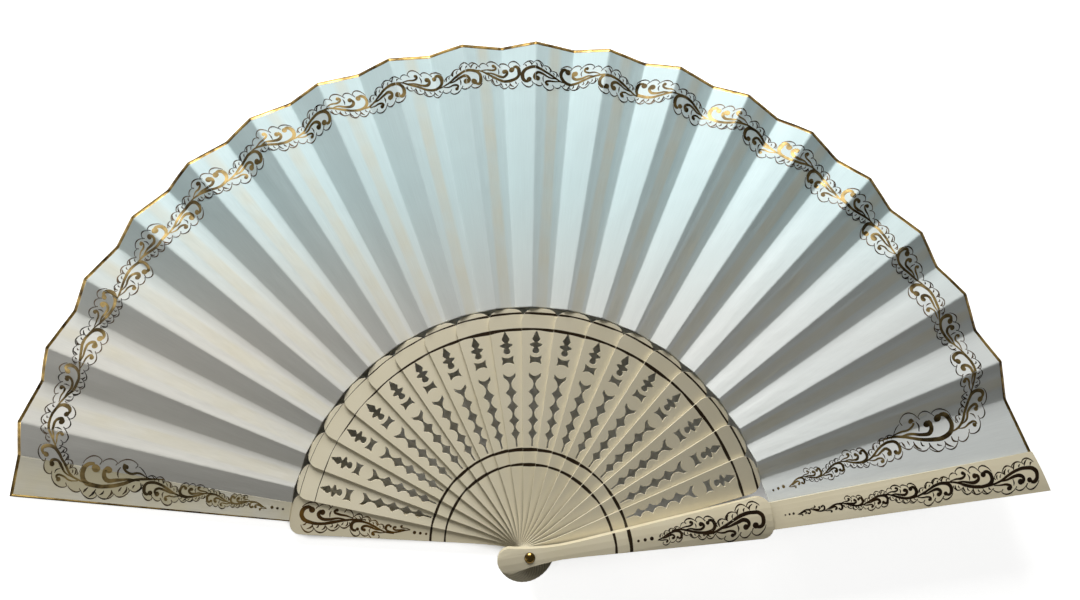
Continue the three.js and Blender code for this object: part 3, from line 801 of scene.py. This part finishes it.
white_size, tree, shader = new_finish("white_size", Roughness=0.6)
spot = add(tree, "ShaderNodeTexCoord", {}).outputs["Object"]
brushed = add(tree, "ShaderNodeTexNoise", {"Vector": spot, "Scale": 1 / WHITE_BRUSH, "Detail": 2.0})
body = add(tree, "ShaderNodeMapRange", {"Value": brushed.outputs[0], "To Min": 0.05, "To Max": 0.45})
thin_white = {0: body.outputs[0], 6: cloth_tint_by_place(tree, spot), 7: linear("#F3F2EC")}
chalk = add(tree, "ShaderNodeMix", thin_white, data_type="RGBA")
rib = add(tree, "ShaderNodeAttribute", {}, attribute_name="over_rib")
over_guard = {0: rib.outputs["Fac"], 6: chalk.outputs[2], 7: linear("#C3BA9A")}
aged = add(tree, "ShaderNodeMix", over_guard, data_type="RGBA")
tree.links.new(aged.outputs[2], shader.inputs["Base Color"])
print("inks:", *(finish.name for finish in (gold_ink, line_ink, guard_ink, old_gold_ink, white_size)))

# %% [markdown]
# The border is drawn flat, and the cloth is pleated, so the drawing is cut along the creases and each cut
# piece is laid on its own strip, where it rides as the cloth does. Beside a crease the cloth bends, so the
# piece gets two more cuts there, or its long faces would bridge the bend.

# %% The border laid on the cloth
def strip_shares(strip, x, y):
    turn = np.arctan2(y, x)
    left, right = crease_turn[strip], crease_turn[strip + 1]
    a, b = np.sin(left - turn), np.sin(turn - right)
    across = np.clip(a / (a + b), 0, 1)
    reach = np.hypot(x, y) * np.cos(turn - (left + right) / 2) / math.cos((left - right) / 2)
    return across, (reach - INNER) / LENGTH


BORDER_GROWTH = [(0, 0.42), (28, 0.72), (40, 0.95), (50, 1.6), (60, 1.6), (77, 1.1), (100, 1.0)]
BORDER_WEIGHT = 1.12
BEND_CUTS = (0.35, 1.0)  # shares of the bend beside a crease
drawing = draw_border(left_line, BORDER_GROWTH, -1, weight=BORDER_WEIGHT)
half = bpy.data.meshes.new("half")
other = draw_border(right_line, BORDER_GROWTH, 1, weight=BORDER_WEIGHT)
other.to_mesh(half)
other.free()
drawing.from_mesh(half)
bpy.data.meshes.remove(half)


def cut_along(bm, turn, keep_right=False, keep_left=False):
    bmesh.ops.bisect_plane(
        bm, geom=[*bm.verts, *bm.edges, *bm.faces], dist=1e-7,
        plane_co=(0, 0, 0), plane_no=(-math.sin(turn), math.cos(turn), 0),
        clear_outer=keep_right, clear_inner=keep_left,
    )


for strip in range(STRIPS):
    piece_bm = drawing.copy()
    cut_along(piece_bm, crease_turn[strip], keep_right=True)
    cut_along(piece_bm, crease_turn[strip + 1], keep_left=True)
    if not piece_bm.faces:
        piece_bm.free()
        continue
    edge = creases[strip + 1, 1] - creases[strip, 1]
    fall = max(abs(edge[2]) / np.hypot(*edge[:2]), LEAST_FALL)
    bend_turn = 2 * CREASE_DROP_RIM / fall / OUTER
    for share in BEND_CUTS:
        cut_along(piece_bm, crease_turn[strip] - share * bend_turn)
        cut_along(piece_bm, crease_turn[strip + 1] + share * bend_turn)
    flat = np.array([v.co for v in piece_bm.verts])
    lift = piece_bm.verts.layers.float["lift"]
    heights = np.array([v[lift] for v in piece_bm.verts])
    across, along = strip_shares(strip, flat[:, 0], flat[:, 1])
    for vert, point in zip(piece_bm.verts, leaf_point(strip, across, along, heights)):
        vert.co = point
    piece_bm.normal_update()
    wrong = [face for face in piece_bm.faces if face.normal.z < 0]
    bmesh.ops.reverse_faces(piece_bm, faces=wrong)
    over_rib = piece_bm.verts.layers.float.new("over_rib")
    for vert in piece_bm.verts:
        vert[over_rib] = float(strip == 0)
    piece = new_piece(strips[strip].replace("leaf", "scroll"), piece_bm, white_size, line_ink, gold_ink)
    ride_strip(piece, strip, across)
drawing.free()

# %% [markdown]
# The guards carry the same scroll in brown, on the crowned part and along the blade. Here the surface is the
# CAD's own, so every point of the drawing drops straight down on it, and what falls past its edge is cut.

# %% Scrolls on the guards
GUARD_WEIGHT = 1.3
GUARD_INK_LIFT = 0.03 * MM


def guard_scroll(name, node, rib, reach, turn, growth, stretch, finish):
    """A scroll along a guard. Reach is in millimetres from the rivet and turn in degrees, start and end."""
    steps = zip(np.linspace(*reach, 80), np.linspace(*turn, 80))
    spine = np.array([polar(r * MM, math.radians(a)) for r, a in steps])
    bm = draw_border(Line(spine, 1), growth, 1, stretch, GUARD_WEIGHT, filled=False)
    surface = BVHTree.FromPolygons(
        [v.co for v in nodes[node].data.vertices], [p.vertices[:] for p in nodes[node].data.polygons]
    )
    lost = []
    for vert in bm.verts:
        hit = surface.ray_cast(Vector((vert.co.x, vert.co.y, 0.1)), Vector((0, 0, -1)))[0]
        if hit is None:
            lost.append(vert)
        else:
            vert.co = hit + Vector((0, 0, GUARD_INK_LIFT))
    bmesh.ops.delete(bm, geom=lost, context="VERTS")
    bm.normal_update()
    bmesh.ops.reverse_faces(bm, faces=[face for face in bm.faces if face.normal.z < 0])
    piece = new_piece(name, bm, finish, finish, finish)
    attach(piece, rib)
    print(name, len(piece.data.polygons), "faces,", len(lost), "points off the edge")


guard_scroll(
    "scroll_guard_front_gorge", "guard_front", "front_rib",
    reach=(43, 98.5), turn=(6.6, 7.9), growth=[(0, 0.5), (26, 1.12)], stretch=1.15, finish=guard_ink,
)
guard_scroll(
    "scroll_guard_front_blade", "guard_front", "front_rib",
    reach=(105, 217), turn=(7.1, 7.3), growth=[(0, 0.32), (85, 1.2)], stretch=1.1, finish=guard_ink,
)
guard_scroll(
    "scroll_guard_rear_gorge", "guard_rear", "rear_rib",
    reach=(42, 98), turn=(173.0, 170.9), growth=[(0, 0.45), (26, 1.0)], stretch=1.3, finish=old_gold_ink,
)

# %% [markdown]
# The strips' sizes, when the pleats are pressed flat, add up to the leaf cut flat.

total = 0.0
for strip, piece in enumerate(cloth):
    edge = creases[strip + 1] - creases[strip]
    inner_width, outer_width = np.linalg.norm(edge[0]), np.linalg.norm(edge[1])
    area = (inner_width + outer_width) / 2 * LENGTH
    total += area
print("leaf cut flat:", round(total * 1e4, 1), "square centimetres")

# %% [markdown]
# The fan lies on a pale table. The camera sees that table as white by a glow where it lies open to the sky.
# Near the fan and beneath it an occlusion test fades that glow, a painted shadow, and the lamps' shadow of
# the fan stays on it too.

# %% Table
TABLE_GAP = 0.3 * MM
bm = bmesh.new()
below = Matrix.Translation((0, 0, -TABLE_GAP))
bmesh.ops.create_grid(bm, x_segments=1, y_segments=1, size=3.0, matrix=below)
table_top, tree, shader = new_finish("pale_table", Roughness=0.9, Base_Color=linear("#F4F4F2"))
view = add(tree, "ShaderNodeLightPath", {})
rays = {0: view.outputs["Is Camera Ray"], 1: view.outputs["Is Glossy Ray"]}
seen = add(tree, "ShaderNodeMath", rays, operation="MAXIMUM")
open_sky = add(tree, "ShaderNodeAmbientOcclusion", {"Distance": 60 * MM}, samples=8)
# Painted shade: beneath the pierced sticks the glow needs more open sky, so the floor seen through the
# piercings stays dark.
spot = add(tree, "ShaderNodeTexCoord", {}).outputs["Object"]
reach = add(tree, "ShaderNodeVectorMath", {0: spot}, operation="LENGTH").outputs["Value"]
within = add(
    tree, "ShaderNodeMapRange",
    {"Value": reach, "From Min": 92 * MM, "From Max": 102 * MM, "To Min": 0.32, "To Max": 0.0},
)
where = add(tree, "ShaderNodeSeparateXYZ", {0: spot})
above = add(tree, "ShaderNodeMapRange", {"Value": where.outputs["Y"], "From Max": 8 * MM})
gorge_shade = add(tree, "ShaderNodeMath", {0: within.outputs[0], 1: above.outputs[0]}, operation="MULTIPLY")
free = add(tree, "ShaderNodeMath", {0: open_sky.outputs["AO"], 1: gorge_shade.outputs[0]}, operation="SUBTRACT")
clear = add(
    tree, "ShaderNodeMapRange",
    {"Value": free.outputs[0], "From Min": 0.35, "From Max": 0.66, "To Max": 0.82},
    interpolation_type="SMOOTHSTEP",
)
glow = add(tree, "ShaderNodeMath", {0: seen.outputs[0], 1: clear.outputs[0]}, operation="MULTIPLY")
shader.inputs["Emission Color"].default_value = linear("#FFFFFF")
tree.links.new(glow.outputs[0], shader.inputs["Emission Strength"])
new_piece("table_top", bm, table_top)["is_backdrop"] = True
print("table top", round(TABLE_GAP / MM, 1), "mm below the fan")

# %% [markdown]
# One broad lamp stands above the top of the fan, a little to the left, so that the pleats read as light and
# shade. A weak one at the lower left opens the shade, and a dim pale sky does the rest, though the camera
# sees that sky as white.

# %% Light
SKY_STRENGTH = 0.085
AIM = Vector((0, 0.1, 0))
world = bpy.data.worlds.new("pale_sky")
bpy.context.scene.world = world
world.use_nodes = True
sky = world.node_tree.nodes["Background"]
sky.inputs["Color"].default_value = linear("#F4F3EE")
view = add(world.node_tree, "ShaderNodeLightPath", {})
to_camera = {"Value": view.outputs["Is Camera Ray"], "To Min": SKY_STRENGTH, "To Max": 1.0}
seen = add(world.node_tree, "ShaderNodeMapRange", to_camera)
world.node_tree.links.new(seen.outputs[0], sky.inputs["Strength"])


def add_lamp(name, place, size, watts):
    lamp = bpy.data.lights.new(name, "AREA")
    lamp.size = size
    lamp.energy = watts
    stand = bpy.data.objects.new(name, lamp)
    bpy.context.scene.collection.objects.link(stand)
    stand.location = place
    stand.rotation_euler = (AIM - stand.location).to_track_quat("-Z", "Y").to_euler()
    print("lamp", name, watts, "watts")


add_lamp("window", (-0.08, 0.66, 0.29), 0.35, 5.2)
add_lamp("fill", (-0.75, -0.3, 0.45), 0.25, 1.3)

# %% [markdown]
# The camera looks down on the fan from about a third of a metre, at the photograph's angle.

# %% Camera
SENSOR_WIDTH = 36
PHOTO_WIDTH, FOCAL_LENGTH = 1080, 756.3  # in pixels
TURN_AXIS, TURN = Vector((0.6884, -0.7068, -0.1615)), 0.10441
camera = bpy.data.cameras.new("camera")
camera.sensor_width = SENSOR_WIDTH
camera.lens = SENSOR_WIDTH * FOCAL_LENGTH / PHOTO_WIDTH
eye = bpy.data.objects.new("camera", camera)
bpy.context.scene.collection.objects.link(eye)
eye.matrix_world = Matrix.Translation((-0.01679, 0.08058, 0.33409)) @ Matrix.Rotation(TURN, 4, TURN_AXIS)
bpy.context.scene.camera = eye
bpy.context.scene.view_settings.view_transform = "Standard"
print("camera with a lens of", round(camera.lens, 1), "mm")

# %% [markdown]
# Last, the dressed fan is measured against the CAD box.

# %% Measure and finish
visual_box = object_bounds()
for label, box in (("CAD", cad_box), ("dressed", visual_box)):
    print(label, [round(x / MM, 1) for x in box[1] - box[0]], "mm")
